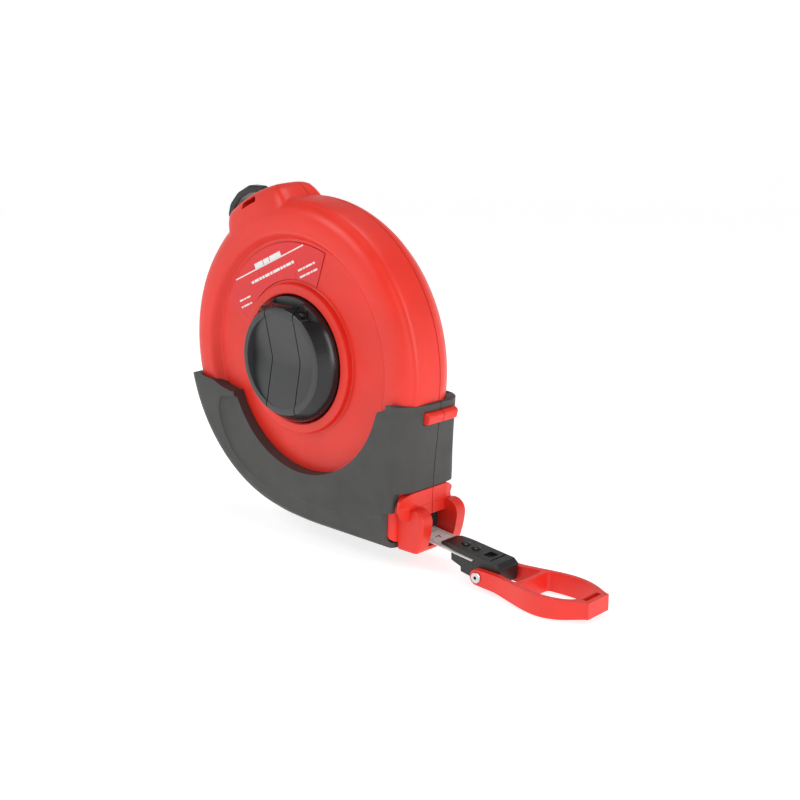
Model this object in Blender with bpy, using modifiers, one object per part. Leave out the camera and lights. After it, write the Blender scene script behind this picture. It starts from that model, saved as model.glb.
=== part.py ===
"""Long surveyor's tape reel: closed two-shell case, fold-out crank, steel tape and hinged end ring.

The model is drawn in the reel's side plane: local x runs towards the mouth, local y runs up and
local z runs out to the crank side.  An empty turns that plane upright, so that the finished reel
has +X towards the mouth, -Y towards the crank and +Z up, with the middle of its bottom at the origin.
Lengths in this file are in millimetres until they reach a mesh.
"""
import math

import bmesh
import bpy
from mathutils import Vector

MM = 0.001

# Driving dimensions
AXIS_AT = (-38.09, 5.0, 77.21)
RIM_RADIUS = 65.1
DISH_RADIUS = 48.2
DISH_DEPTH = 13.25
FACE_DEPTH = 17.0
WELL_DEPTH = 10.0
BOSS_INNER = 26.6
BOSS_OUTER = 30.9
BOSS_DEPTH = 16.24
SPLIT = 0.15
TAPE_WIDTH = 13.0
TAPE_THICK = 0.3
COIL_RADIUS = 49.5
CORE_RADIUS = 19.6
DRUM_FACE = 24.0
ARM_HALF = 8.0
HINGE_Y = 20.2
HINGE_Z = 21.1
GRIP_Y = -12.5
GUARD_RADIUS = 67.2
GUARD_DEPTH = 19.2
FAR_DEPTH = 14.0
GUARD_EYE = (6.2, -1.7, 44.6)
TAPE_DROOP = 6.0
FITTING_X = 70.0
FITTING_Y = -65.25
PIN_S = 21.9
PIN_T = -4.7
SCREW_SPOTS = ((54.0, 16.4), (15.0, 54.6), (-31.8, 46.9), (-55.5, -11.1), (-39.6, -40.5))
SIDES = 72


def clear_scene():
    for item in list(bpy.data.objects):
        bpy.data.objects.remove(item, do_unlink=True)


def new_collection(name):
    group = bpy.data.collections.new(name)
    bpy.context.scene.collection.children.link(group)
    return group


clear_scene()
PARTS = new_collection("surveyor_tape_reel")
CUTTERS = new_collection("cutters")


def new_empty(name, parent=None, location=(0, 0, 0), rotation=(0, 0, 0)):
    empty = bpy.data.objects.new(name, None)
    empty.empty_display_size = 0.01
    PARTS.objects.link(empty)
    empty.parent = parent
    empty.location = [value * MM for value in location]
    empty.rotation_euler = [math.radians(value) for value in rotation]
    return empty


ROOT = new_empty("reel_axis", None, AXIS_AT, (90, 0, 0))
LINE = new_empty("tape_line", ROOT, (FITTING_X, FITTING_Y, 0), (0, 0, -TAPE_DROOP))


def on_line(s, t):
    """A point of the tape line's frame, in the reel's side plane."""
    angle = math.radians(TAPE_DROOP)
    x = FITTING_X + s * math.cos(angle) + t * math.sin(angle)
    y = FITTING_Y - s * math.sin(angle) + t * math.cos(angle)
    return x, y


PIN_X, PIN_Y = on_line(PIN_S, PIN_T)


def new_material(name, colour, roughness, metallic=0.0):
    material = bpy.data.materials.new(name)
    material.use_nodes = True
    shader = material.node_tree.nodes["Principled BSDF"]
    shader.inputs["Base Color"].default_value = (*colour, 1.0)
    shader.inputs["Roughness"].default_value = roughness
    shader.inputs["Metallic"].default_value = metallic
    return material


def add_object(name, mesh, parent=ROOT, cutter=False, origin=(0, 0, 0)):
    """Link a mesh whose points are given in millimetres about its own origin."""
    obj = bpy.data.objects.new(name, mesh)
    if cutter:
        CUTTERS.objects.link(obj)
        obj.hide_render = True
        obj.display_type = "WIRE"
    else:
        PARTS.objects.link(obj)
    obj.parent = parent
    obj.location = [value * MM for value in origin]
    return obj


def finish(obj, material, angle=35.0):
    obj.data.materials.clear()
    obj.data.materials.append(material)
    obj.data.shade_smooth()
    obj.data.set_sharp_from_angle(angle=math.radians(angle))
    return obj


def mesh_from(bm, name):
    for vert in bm.verts:
        vert.co *= MM
    bmesh.ops.recalc_face_normals(bm, faces=bm.faces)
    mesh = bpy.data.meshes.new(name)
    bm.to_mesh(mesh)
    bm.free()
    return mesh


def clockwise(profile):
    area = 0.0
    for index, (r0, z0) in enumerate(profile):
        r1, z1 = profile[(index + 1) % len(profile)]
        area += r0 * z1 - r1 * z0
    return profile if area < 0 else profile[::-1]


def turned(name, profile, steps=SIDES, closed=True, **keys):
    """A turned solid about local z from a profile of (radius, z) points."""
    points = clockwise(profile)
    if not closed and points[0][1] < points[-1][1]:
        points = points[::-1]
    verts = [(r * MM, 0.0, z * MM) for r, z in points]
    edges = [(i, i + 1) for i in range(len(verts) - 1)]
    if closed:
        edges.append((len(verts) - 1, 0))
    mesh = bpy.data.meshes.new(name)
    mesh.from_pydata(verts, edges, [])
    obj = add_object(name, mesh, **keys)
    screw = obj.modifiers.new("turn", "SCREW")
    screw.axis = "Z"
    screw.angle = math.tau
    screw.steps = steps
    screw.render_steps = steps
    screw.use_merge_vertices = True
    screw.merge_threshold = 0.00001
    return obj


def loft(name, rings, **keys):
    """A solid skinned through rings of points, capped at both ends."""
    bm = bmesh.new()
    rows = [[bm.verts.new(point) for point in ring] for ring in rings]
    count = len(rows[0])
    for low, high in zip(rows, rows[1:]):
        for i in range(count):
            j = (i + 1) % count
            bm.faces.new((low[i], low[j], high[j], high[i]))
    bm.faces.new(rows[0][::-1])
    bm.faces.new(rows[-1])
    return add_object(name, mesh_from(bm, name), **keys)


def plate(name, outline, z0, z1, **keys):
    """A flat outline in the side plane, between two depths."""
    curve = bpy.data.curves.new(name, "CURVE")
    curve.dimensions = "2D"
    curve.fill_mode = "BOTH"
    curve.extrude = abs(z1 - z0) * MM / 2
    spline = curve.splines.new("POLY")
    spline.points.add(len(outline) - 1)
    for point, (x, y) in zip(spline.points, outline):
        point.co = (x * MM, y * MM, 0.0, 1.0)
    spline.use_cyclic_u = True
    carrier = bpy.data.objects.new(name, curve)
    bpy.context.scene.collection.objects.link(carrier)
    graph = bpy.context.evaluated_depsgraph_get()
    mesh = bpy.data.meshes.new_from_object(carrier.evaluated_get(graph))
    bpy.data.objects.remove(carrier)
    bm = bmesh.new()
    bm.from_mesh(mesh)
    bmesh.ops.remove_doubles(bm, verts=bm.verts, dist=0.000001)
    bmesh.ops.translate(bm, verts=bm.verts, vec=Vector((0, 0, (z0 + z1) / 2 * MM)))
    bmesh.ops.recalc_face_normals(bm, faces=bm.faces)
    bm.to_mesh(mesh)
    bm.free()
    return add_object(name, mesh, **keys)


def box(name, low, high, **keys):
    bm = bmesh.new()
    bmesh.ops.create_cube(bm, size=1.0)
    for vert in bm.verts:
        for axis in range(3):
            middle = (low[axis] + high[axis]) / 2
            vert.co[axis] = middle + vert.co[axis] * (high[axis] - low[axis])
    return add_object(name, mesh_from(bm, name), **keys)


def rod(name, radius, start, end, sides=24, **keys):
    """A round bar between two points."""
    first = Vector(start)
    run = Vector(end) - first
    bm = bmesh.new()
    bmesh.ops.create_cone(
        bm, cap_ends=True, segments=sides, radius1=radius, radius2=radius, depth=run.length
    )
    turn = Vector((0, 0, 1)).rotation_difference(run.normalized())
    bmesh.ops.rotate(bm, verts=bm.verts, matrix=turn.to_matrix())
    bmesh.ops.translate(bm, verts=bm.verts, vec=first + run / 2)
    return add_object(name, mesh_from(bm, name), **keys)


def boolean(obj, other, operation):
    modifier = obj.modifiers.new(operation.lower(), "BOOLEAN")
    modifier.operation = operation
    modifier.solver = "EXACT"
    modifier.object = other
    return obj


def cut(obj, *others):
    for other in others:
        boolean(obj, other, "DIFFERENCE")
    return obj


def join(obj, *others):
    for other in others:
        boolean(obj, other, "UNION")
    return obj


def bevel(obj, width, segments=2, angle=40.0):
    modifier = obj.modifiers.new("bevel", "BEVEL")
    modifier.width = width * MM
    modifier.segments = segments
    modifier.limit_method = "ANGLE"
    modifier.angle_limit = math.radians(angle)
    modifier.harden_normals = False
    return obj


def polar(radius, degrees):
    angle = math.radians(degrees)
    return radius * math.cos(angle), radius * math.sin(angle)


def arc(cx, cy, radius, start, end, count):
    points = []
    for index in range(count + 1):
        x, y = polar(radius, start + (end - start) * index / count)
        points.append((cx + x, cy + y))
    return points


def drawn_in(points, amount):
    """Points moved towards the reel's axis."""
    moved = []
    for x, y in points:
        scale = 1.0 - amount / math.hypot(x, y)
        moved.append((x * scale, y * scale))
    return moved


RED = new_material("moulded_red", (0.78, 0.035, 0.028), 0.38)
GUARD = new_material("overmould_grey", (0.085, 0.085, 0.08), 0.62)
LABEL = new_material("label_red", (0.72, 0.03, 0.05), 0.3)
KNOB = new_material("knob_black", (0.05, 0.05, 0.052), 0.42)
BLACK = new_material("fitting_black", (0.02, 0.022, 0.022), 0.4)
CORE = new_material("core_grey", (0.2, 0.2, 0.2), 0.6)
STEEL = new_material("pin_steel", (0.62, 0.62, 0.62), 0.25, 1.0)
TAPE = new_material("tape_white", (0.85, 0.85, 0.82), 0.35)
FELT = new_material("wiper_black", (0.015, 0.015, 0.015), 0.9)


# ---------------------------------------------------------------- case

OUTER = [
    (DISH_RADIUS, DISH_DEPTH), (51.0, 16.4), (51.9, FACE_DEPTH), (56.5, FACE_DEPTH),
    (59.6, 16.3), (61.8, 15.0), (63.0, 13.3), (63.5, 12.7), (64.1, 12.0), (64.6, 10.0),
    (65.0, 5.0), (RIM_RADIUS, -1.0),
]
INNER = [
    (62.8, -1.0), (62.6, 8.0), (61.6, 11.5), (59.6, 14.0), (56.0, 15.0), (52.5, 15.0), (49.4, 11.25),
]
NEAR_HUB = [(10.3, 8.0), (10.3, WELL_DEPTH), (BOSS_INNER, WELL_DEPTH), (BOSS_INNER, 15.7)]
NEAR_HUB += [(27.1, BOSS_DEPTH), (30.3, BOSS_DEPTH)]
NEAR_RING = [(BOSS_OUTER, 15.7), (31.1, DISH_DEPTH)]
FAR_OUTER = [
    (48.0, 11.0), (50.0, 12.1), (52.4, 12.4), (56.5, 11.8), (59.6, 10.0), (61.7, 8.0), (63.4, 5.5),
    (64.6, 3.0), (RIM_RADIUS, 0.6), (RIM_RADIUS, -1.0),
]
FAR_INNER = [(62.8, -1.0), (62.4, 2.4), (61.2, 4.8), (59.6, 6.9), (57.6, 8.6)]
FAR_INNER += [(54.8, 9.7), (52.0, 9.9), (49.2, 9.0)]
FAR_HUB = [(0.0, 11.0), (26.3, 11.0), (26.6, 12.6), (27.1, 13.0), (30.3, 13.0), (30.8, 12.6), (31.1, 11.0)]
FAR_SOCKET = [(9.0, 9.0), (9.0, 7.4), (6.3, 7.4), (6.3, 9.2), (0.0, 9.2)]

FRONT_LINE = [(61.9, -44.3), (62.1, -36.0), (62.5, -27.0), (63.0, -18.0), (63.5, -9.6)]
NEAR_LEVELS = ((-1.0, 0.0), (11.0, 0.3), (14.6, 1.4), (16.2, 3.0), (16.9, 5.0))
FAR_LEVELS = ((-1.0, 0.0), (7.4, 0.3), (9.3, 1.4), (10.5, 3.0), (11.1, 5.0))
NEAR_LIP = ((-1.1, 0.0), (11.2, 0.0), (15.0, 0.8), (17.4, 2.0), (18.4, 2.9))
FAR_LIP = ((-1.1, 0.0), (8.0, 0.0), (10.2, 0.8), (11.7, 2.0), (12.4, 2.9))


def hump_outline():
    crown = [polar(71.3, angle) for angle in range(126, 102, -4)]
    left = [polar(63.5, 128.5), polar(66.5, 128.3), polar(70.2, 127.6)]
    right = [polar(71.0, 101.5), polar(69.6, 98.8), polar(67.0, 96.8), polar(63.5, 96.0)]
    under = [polar(63.5, angle) for angle in range(100, 128, 6)]
    return left + crown + right + under


def arch_outline(spread=0.0):
    outer = [(65.6, 136.6), (76.4, 136.2), (78.8, 132.6), (79.5, 127.5), (78.2, 121.4)]
    outer += [(74.8, 117.0), (70.4, 115.9)]
    inner = [(70.4, 118.6), (73.3, 119.4), (75.4, 123.0), (76.4, 127.5), (75.8, 131.4)]
    inner += [(73.6, 133.6), (65.6, 134.0)]
    points = [polar(radius, angle + spread) for radius, angle in outer]
    return points + [polar(radius, angle - spread) for radius, angle in inner]


def foot_pocket(name, angle, reach):
    x, y = polar(reach, angle)
    pocket = box(name, (-3.0, -2.4, -2.8), (3.0, 2.4, 2.8), cutter=True, origin=(x, y, 0))
    pocket.rotation_euler[2] = math.radians(angle)
    return pocket


def nose_solids(side, tag):
    """The block behind the front panel, the lip above the mouth, the cheek and the foot."""
    inset = [(59.9, -43.9), (60.0, -36.0), (60.1, -27.0), (60.2, -18.0), (60.2, -12.2)]
    heel = [(34.0, -52.0), (23.0, -60.0)] if side > 0 else [(29.0, -50.5), (20.0, -57.3)]
    collar = [(58.0, -16.0), (52.0, -34.0)] if side > 0 else [(55.0, -15.0), (48.2, -31.4)]
    block = heel + [(27.0, -66.2), (55.4, -66.4), (56.0, -54.0)]
    block += [(58.3, -52.7), (59.7, -45.3)] + inset + collar
    rings = []
    for depth, pull in NEAR_LEVELS if side > 0 else FAR_LEVELS:
        ring = pulled_back(block, depth, pull, 59.8)
        rings.append([(x, y, side * depth) for x, y in ring])
    core = loft("nose_core_" + tag, rings, cutter=True)
    lip = [(58.9, -44.6), (61.9, -44.6), (61.5, -50.4), (61.2, -56.2), (57.6, -53.1)]
    rings = []
    for depth, pull in NEAR_LIP if side > 0 else FAR_LIP:
        rings.append([(x, y, side * depth) for x, y in inset_ring(lip, pull)])
    lip_solid = loft("nose_lip_" + tag, rings, cutter=True)
    cheek = [(54.3, -69.0), (64.4, -69.0), (66.0, -66.4), (67.4, -61.6), (68.3, -56.0)]
    cheek += [(67.7, -53.4), (66.0, -51.6), (63.4, -50.6), (60.8, -51.2), (57.4, -53.2), (54.3, -54.3)]
    rings = []
    for depth, pull in ((-1.2, 0.0), (11.4, 0.0), (12.6, 0.7), (13.1, 1.7)):
        rings.append([(x, y, side * depth) for x, y in inset_ring(cheek, pull)])
    cheek_solid = loft("nose_cheek_" + tag, rings, cutter=True)
    return core, lip_solid, cheek_solid


def front_pull(depth, y):
    """How far the front face has fallen back at a depth, along the slanting corner facet."""
    edge = 13.0 - 7.0 * (y + 44.3) / 34.7
    return max(0.0, depth - edge) * 0.36


def pulled_back(points, depth, amount, front_x):
    """Points drawn in, with those on the front face also following the corner facet."""
    moved = []
    for (x, y), (new_x, new_y) in zip(points, drawn_in(points, amount)):
        fall = front_pull(depth, y) if x > front_x else 0.0
        moved.append((min(new_x, x - fall), new_y))
    return moved


def inset_ring(points, amount):
    """Points moved towards their own centre by a set distance."""
    cx = sum(x for x, _ in points) / len(points)
    cy = sum(y for _, y in points) / len(points)
    moved = []
    for x, y in points:
        span = math.hypot(x - cx, y - cy)
        moved.append((cx + (x - cx) * (1 - amount / span), cy + (y - cy) * (1 - amount / span)))
    return moved


def lug_solid(name, side, grow=0.0):
    outline = [(57.5, -17.2 - grow), (57.5, -12.4 + grow), (64.0, -12.4 + grow)]
    outline += [(65.8 + grow, -13.6 + grow), (64.6 + grow, -17.2 - grow)]
    near, far = sorted((side * -1.3, side * (8.3 + grow)))
    return plate(name, outline, near, far, cutter=True)


def hump_solid(side, tag):
    outline = hump_outline()
    rings = []
    top = 12.2 if side > 0 else 8.4
    for depth, pull in ((-1.4, 0.0), (top - 2.2, 0.0), (top - 0.6, 0.6), (top, 1.6)):
        rings.append([(x, y, side * depth) for x, y in drawn_in(outline, pull)])
    return loft("hump_" + tag, rings, cutter=True)


def screw_posts(side, tag):
    """Short posts inside the rim that the case screws pass through."""
    posts = []
    for number, (x, y) in enumerate(SCREW_SPOTS, 1):
        start = (x, y, side * -1.5)
        end = (x, y, 15.8 if side > 0 else -9.6)
        posts.append(rod("post_%s_%d" % (tag, number), 2.9, start, end, 10, cutter=True))
    return posts


def mouth_cutters():
    pocket = box("mouth_pocket", (55.6, -66.6, -7.3), (72.0, -55.5, 7.3), cutter=True)
    brow = box("mouth_brow", (61.65, -56.4, -7.2), (72.0, -46.0, 7.2), cutter=True)
    channel = box("tape_channel", (-72.0, -1.3, -7.2), (-10.0, 1.5, 7.2), parent=LINE, cutter=True)
    return pocket, brow, channel


def slot_cutter():
    x, y = polar(66.7, 115.0)
    slot = box("hump_slot", (-2.1, -4.6, -14.0), (2.1, 4.6, 14.0), cutter=True, origin=(x, y, 0))
    slot.rotation_euler[2] = math.radians(115.0)
    return bevel(slot, 1.0, 2)


MOUTH, BROW, CHANNEL = mouth_cutters()
SLOT = slot_cutter()
POCKET_LEFT = foot_pocket("arch_pocket_left", 135.3, 65.2)
POCKET_RIGHT = foot_pocket("arch_pocket_right", 117.2, 71.4)


def case_half(name, side, profile, closed):
    shell = turned(name, [(r, side * z) for r, z in profile], 52, closed)
    tag = "near" if side > 0 else "far"
    core, lip, cheek = nose_solids(side, tag)
    lug = lug_solid("lug_" + tag, side)
    join(shell, hump_solid(side, tag), core, lip, cheek, lug)
    join(shell, *screw_posts(side, tag))
    low, high = sorted((side * -20.0, side * SPLIT))
    beyond = box("beyond_" + tag, (-90, -90, low), (90, 90, high), cutter=True)
    cut(shell, beyond, MOUTH, BROW, CHANNEL, SLOT, POCKET_LEFT, POCKET_RIGHT)
    return shell


def screw_holes():
    holes = []
    for number, (x, y) in enumerate(SCREW_SPOTS, 1):
        holes.append(rod("screw_bore_%d" % number, 1.6, (x, y, -19.0), (x, y, 12.0), 10, cutter=True))
        holes.append(rod("screw_seat_%d" % number, 3.1, (x, y, -19.0), (x, y, -8.9), 14, cutter=True))
    return holes


NEAR_PROFILE = NEAR_HUB + NEAR_RING + OUTER + INNER + [(29.0, 11.25), (29.0, 8.0)]
case_near = case_half("case_near", 1, NEAR_PROFILE, True)
case_far = case_half("case_far", -1, FAR_HUB + FAR_OUTER + FAR_INNER + FAR_SOCKET, False)
BORES = screw_holes()
cut(case_near, *BORES)
cut(case_far, *BORES)
finish(case_near, RED)
finish(case_far, RED)


def case_screw(number, x, y):
    profile = [(0.0, -10.2), (1.0, -10.2), (1.2, -11.1), (1.9, -11.1), (2.7, -10.6), (2.75, -9.2)]
    profile += [(1.3, -9.2), (1.3, 11.4), (0.0, 11.4)]
    screw = turned("case_screw_%d" % number, profile, 10, False, origin=(x, y, 0))
    return finish(screw, STEEL)


for index, spot in enumerate(SCREW_SPOTS, 1):
    case_screw(index, *spot)


# ---------------------------------------------------------------- overmould

def guard_outline():
    outer = arc(0, 0, GUARD_RADIUS, 193.6, 261.0, 20)
    outer += [(-4.0, -67.5), (4.0, -68.2), (12.0, -68.6), (54.0, -68.6)]
    step = [(54.0, -53.5), (57.2, -52.6), (58.6, -44.3)]
    front = FRONT_LINE
    top = [(61.3, -9.0), (54.6, -11.1), (50.4, -12.5)]
    eye = arc(GUARD_EYE[0], GUARD_EYE[1], GUARD_EYE[2], -16.0, -157.6, 24)
    tail = [(-39.4, -18.4), (-47.5, -15.8)]
    return outer, step, front, top + eye + tail


def guard_half(side, tag):
    outer, step, front, rest = guard_outline()
    rings = []
    pulls = ((SPLIT, 0.0), (6.0, 0.0), (10.6, 0.0), (13.0, 0.2), (15.0, 0.6), (17.0, 1.6), (18.3, 2.9))
    pulls += ((19.0, 4.6), (GUARD_DEPTH, 6.0))
    if side < 0:
        pulls = ((SPLIT, 0.0), (6.0, 0.0), (8.6, 0.1), (10.6, 0.5), (12.2, 1.4), (13.3, 2.8))
        pulls += ((13.8, 4.4), (FAR_DEPTH, 6.0))
    for depth, pull in pulls:
        ring = drawn_in(outer, pull)
        ring += [(x - 0.4 * pull, y) for x, y in step]
        ring += [(x - front_pull(depth, y) - 0.7 * pull, y) for x, y in front]
        ring += [(x - front_pull(depth, y) - 0.7 * pull if x > 58 else x, y) for x, y in rest]
        rings.append([(x, y, side * depth) for x, y in ring])
    return loft("overmould_" + tag, rings)


def case_envelope(side, tag):
    """The case's outside with the working gap added, used to hollow the overmould."""
    profile = [(0.0, 13.55), (48.3, 13.55), (51.2, 16.95), (51.9, 17.36), (56.5, 17.34), (59.8, 16.62)]
    profile += [(62.1, 15.2), (63.6, 13.3), (64.9, 10.0), (65.3, 5.0), (65.4, -0.5), (0.0, -0.5)]
    if side < 0:
        profile = [(0.0, 11.3), (48.0, 11.3), (50.0, 12.4), (52.4, 12.7), (56.6, 12.1), (59.8, 10.3)]
        profile += [(62.0, 8.2), (63.7, 5.6), (64.9, 3.1), (65.4, 0.6), (65.4, -0.5), (0.0, -0.5)]
    return turned("envelope_" + tag, [(r, side * z) for r, z in profile], 52, False, cutter=True)


def core_envelope(side, tag):
    inset = [(60.2, -44.5), (60.3, -36.0), (60.4, -27.0), (60.5, -18.0), (60.5, -11.2)]
    block = [(33.0, -49.0), (20.5, -58.0), (25.0, -66.6), (58.0, -66.8), (59.5, -44.6)]
    block = block + inset + [(56.0, -12.4), (49.5, -32.0)]
    rings = []
    levels = ((-0.7, 0.0), (11.1, 0.0), (14.9, 1.1), (16.5, 2.6), (17.2, 4.6))
    if side < 0:
        levels = ((-0.7, 0.0), (7.5, 0.0), (9.6, 1.1), (10.8, 2.6), (11.4, 4.6))
    for depth, pull in levels:
        ring = pulled_back(block, depth, pull, 60.1)
        rings.append([(x, y, side * depth) for x, y in ring])
    return loft("core_envelope_" + tag, rings, cutter=True)


def make_guard(side, tag):
    guard = guard_half(side, tag)
    lip = [(58.5, -44.2), (64.0, -44.2), (64.0, -70.0), (54.1, -70.0), (54.1, -53.2), (57.2, -52.4)]
    low, high = sorted((side * -0.5, side * 22.0))
    lip_cutter = plate("lip_gap_" + tag, lip, low, high, cutter=True)
    window = lug_solid("lug_window_" + tag, side, 0.3)
    cut(guard, case_envelope(side, tag), core_envelope(side, tag), lip_cutter, window)
    return finish(guard, GUARD)


overmould_near = make_guard(1, "near")
overmould_far = make_guard(-1, "far")
LOW_X, LOW_Y = SCREW_SPOTS[4]
GUARD_SEAT = rod("guard_seat", 3.6, (LOW_X, LOW_Y, -22.0), (LOW_X, LOW_Y, -8.0), 20, cutter=True)
cut(overmould_far, GUARD_SEAT, CHANNEL)


# ---------------------------------------------------------------- label, hang loop, wipers

label_arc = arc(0, 0, 47.3, 69.8, 157.4, 30) + arc(0, 0, 32.3, 157.6, 69.6, 24)
label = plate("label", label_arc, DISH_DEPTH + 0.05, DISH_DEPTH + 0.35)
finish(label, LABEL)

hang_loop = plate("hang_loop", arch_outline(), -2.4, 2.4)
bevel(hang_loop, 0.7, 2)
finish(hang_loop, BLACK)

wiper_upper = box("wiper_upper", (55.9, -62.9, -7.0), (58.2, -55.8, 7.0))
wiper_lower = box("wiper_lower", (55.9, -66.3, -7.0), (58.2, -65.0, 7.0))
finish(wiper_upper, FELT)
finish(wiper_lower, FELT)


# ---------------------------------------------------------------- winding drum

DRUM = [(0.0, DRUM_FACE), (21.4, DRUM_FACE), (22.1, 23.6), (24.5, 20.2), (26.0, 17.4), (26.25, 15.0)]
DRUM += [(26.25, 10.3), (10.0, 10.3), (10.0, 7.3), (0.0, 7.3)]


def trough(name):
    """A shallow V across the drum's face, inside its rim band."""
    disc = rod(name, 19.3, (0, 0, 18.0), (0, 0, 27.0), 48, cutter=True)
    vee = [(-23.0, 28.0), (-23.0, 24.05), (-19.0, 23.9), (-1.2, 20.3), (1.2, 20.3)]
    vee += [(19.0, 23.9), (23.0, 24.05), (23.0, 28.0)]
    prism = plate(name + "_vee", vee, -24.0, 24.0, cutter=True)
    prism.rotation_euler = (math.radians(90), 0, math.radians(90))
    return boolean(disc, prism, "INTERSECT")


def drum_cutters():
    slot = box("arm_slot", (-8.5, -28.0, 17.6), (8.5, 28.0, 26.0), cutter=True)
    pocket = rod("grip_pocket", 7.4, (0, GRIP_Y, 11.5), (0, GRIP_Y, 18.0), 32, cutter=True)
    bore = rod("drum_bore", 2.7, (0, 0, 6.0), (0, 0, 18.0), 20, cutter=True)
    seat = rod("drum_seat", 4.3, (0, 0, 13.7), (0, 0, 18.0), 24, cutter=True)
    hinge = rod("drum_hinge_bore", 1.4, (-20, HINGE_Y, HINGE_Z), (20, HINGE_Y, HINGE_Z), 16, cutter=True)
    right = box("hinge_notch_right", (12.0, 18.0, 19.0), (18.0, 22.6, 26.0), cutter=True)
    left = box("hinge_notch_left", (-18.0, 18.0, 19.0), (-12.0, 22.6, 26.0), cutter=True)
    return slot, pocket, bore, seat, hinge, right, left


winding_drum = turned("winding_drum", DRUM, 52, False)
TROUGH = trough("face_trough")
cut(winding_drum, TROUGH, *drum_cutters())
finish(winding_drum, KNOB)


def arm_solid():
    arm = box("crank_arm", (-ARM_HALF, -27.0, 17.9), (ARM_HALF, HINGE_Y, 24.5), origin=(0, 0, 0))
    profile = [(0.0, DRUM_FACE)] + DRUM[1:6] + [(26.25, 10.3), (0.0, 10.3)]
    envelope = turned("arm_envelope", profile, 52, False, cutter=True)
    left_end = (-ARM_HALF, HINGE_Y, HINGE_Z)
    right_end = (ARM_HALF, HINGE_Y, HINGE_Z)
    knuckle = rod("arm_knuckle", 2.9, left_end, right_end, 32, cutter=True)
    bore = rod("arm_bore", 1.4, (-9.0, HINGE_Y, HINGE_Z), (9.0, HINGE_Y, HINGE_Z), 16, cutter=True)
    stud = rod("arm_stud_bore", 1.8, (0, GRIP_Y, 17.0), (0, GRIP_Y, 19.6), 16, cutter=True)
    join(arm, knuckle)
    boolean(arm, envelope, "INTERSECT")
    cut(arm, TROUGH, bore, stud)
    return arm


crank_arm = arm_solid()
finish(crank_arm, KNOB)
crank_pin = rod("crank_pin", 1.1, (-12.6, 0, 0), (12.6, 0, 0), 20, origin=(0, HINGE_Y, HINGE_Z))
finish(crank_pin, STEEL)

GRIP = [(1.8, 17.5), (4.6, 17.5), (5.2, 16.9), (5.2, 12.5), (4.6, 11.9), (3.0, 11.9)]
GRIP += [(3.0, 13.5), (1.8, 13.5)]
finger_grip = turned("finger_grip", GRIP, 20, True, origin=(0, GRIP_Y, 0))
finish(finger_grip, BLACK)
STUD = [(0.0, 19.4), (1.5, 19.4), (1.5, 13.2), (2.6, 13.2), (2.6, 12.2), (0.0, 12.2)]
grip_stud = turned("grip_stud", STUD, 12, False, origin=(0, GRIP_Y, 0))
finish(grip_stud, STEEL)

HUB_SCREW = [(0.0, 16.2), (1.2, 16.2), (1.4, 17.2), (3.0, 17.2), (3.9, 16.2), (3.9, 14.0)]
HUB_SCREW += [(2.3, 14.0), (2.3, -1.0), (0.0, -1.0)]
hub_screw = turned("hub_screw", HUB_SCREW, 14, False)
finish(hub_screw, STEEL)

SPOOL = [(0.0, -1.3), (2.7, -1.3), (2.7, 7.0), (CORE_RADIUS, 7.0), (CORE_RADIUS, -6.9)]
SPOOL += [(6.0, -6.9), (6.0, -8.9), (0.0, -8.9)]
spool_core = turned("spool_core", SPOOL, 36, False)
finish(spool_core, CORE)
COIL = [(19.9, 6.5), (COIL_RADIUS, 6.5), (COIL_RADIUS, -6.5), (19.9, -6.5)]
tape_coil = turned("tape_coil", COIL, 52, True)
finish(tape_coil, TAPE)


# ---------------------------------------------------------------- tape end

def line_plate(name, outline, half, **keys):
    """A piece on the tape's end, drawn along the tape and centred on it."""
    return plate(name, outline, -half, half, parent=LINE, **keys)


BLADE_LOW = (-82.0, -TAPE_THICK / 2, -TAPE_WIDTH / 2)
BLADE_HIGH = (17.4, TAPE_THICK / 2, TAPE_WIDTH / 2)
tape_blade = box("tape_blade", BLADE_LOW, BLADE_HIGH, parent=LINE)
BLOCK = [(0.0, 0.5), (0.0, 1.3), (3.0, 2.3), (28.6, 2.3), (30.8, 0.8), (30.8, -5.6), (28.0, -8.0)]
BLOCK += [(17.9, -8.0), (17.9, 0.5)]
end_block = line_plate("end_block", BLOCK, 5.6)
left_taper = box("block_taper_left", (-1.0, -2.0, 4.1), (9.0, 4.0, 9.0), parent=LINE, cutter=True)
left_taper.rotation_euler[1] = math.radians(-9.0)
right_taper = box("block_taper_right", (-1.0, -2.0, -9.0), (9.0, 4.0, -4.1), parent=LINE, cutter=True)
right_taper.rotation_euler[1] = math.radians(9.0)
CLAW = [(5.6, -0.5), (6.1, -4.2), (11.0, -5.3), (11.2, -7.2), (17.5, -7.6), (17.5, -0.5)]
end_claw = line_plate("end_claw", CLAW, 4.8)
pin_bore = rod("pin_bore", 1.8, (PIN_S, PIN_T, -12), (PIN_S, PIN_T, 12), 20, parent=LINE, cutter=True)
RIVET_SPOTS = (9.0, 14.0)


def rivet(number, s):
    profile = [(0.0, 3.0), (1.2, 2.95), (1.9, 2.6), (1.0, 2.6), (1.0, -4.0), (0.0, -4.0)]
    piece = turned("end_rivet_%d" % number, profile, 10, False, parent=LINE, origin=(s, 0, 0))
    piece.rotation_euler[0] = math.radians(-90)
    return finish(piece, STEEL)


bores = []
for index, spot in enumerate(RIVET_SPOTS, 1):
    rivet(index, spot)
    low_end = (spot, -4.3, 0)
    high_end = (spot, 4.0, 0)
    bores.append(rod("rivet_bore_%d" % index, 1.3, low_end, high_end, 16, parent=LINE, cutter=True))
cut(end_block, left_taper, right_taper, pin_bore, *bores)
cut(end_claw, *bores)
cut(tape_blade, *bores)
finish(end_block, BLACK)
finish(end_claw, BLACK)
finish(tape_blade, TAPE)

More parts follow.
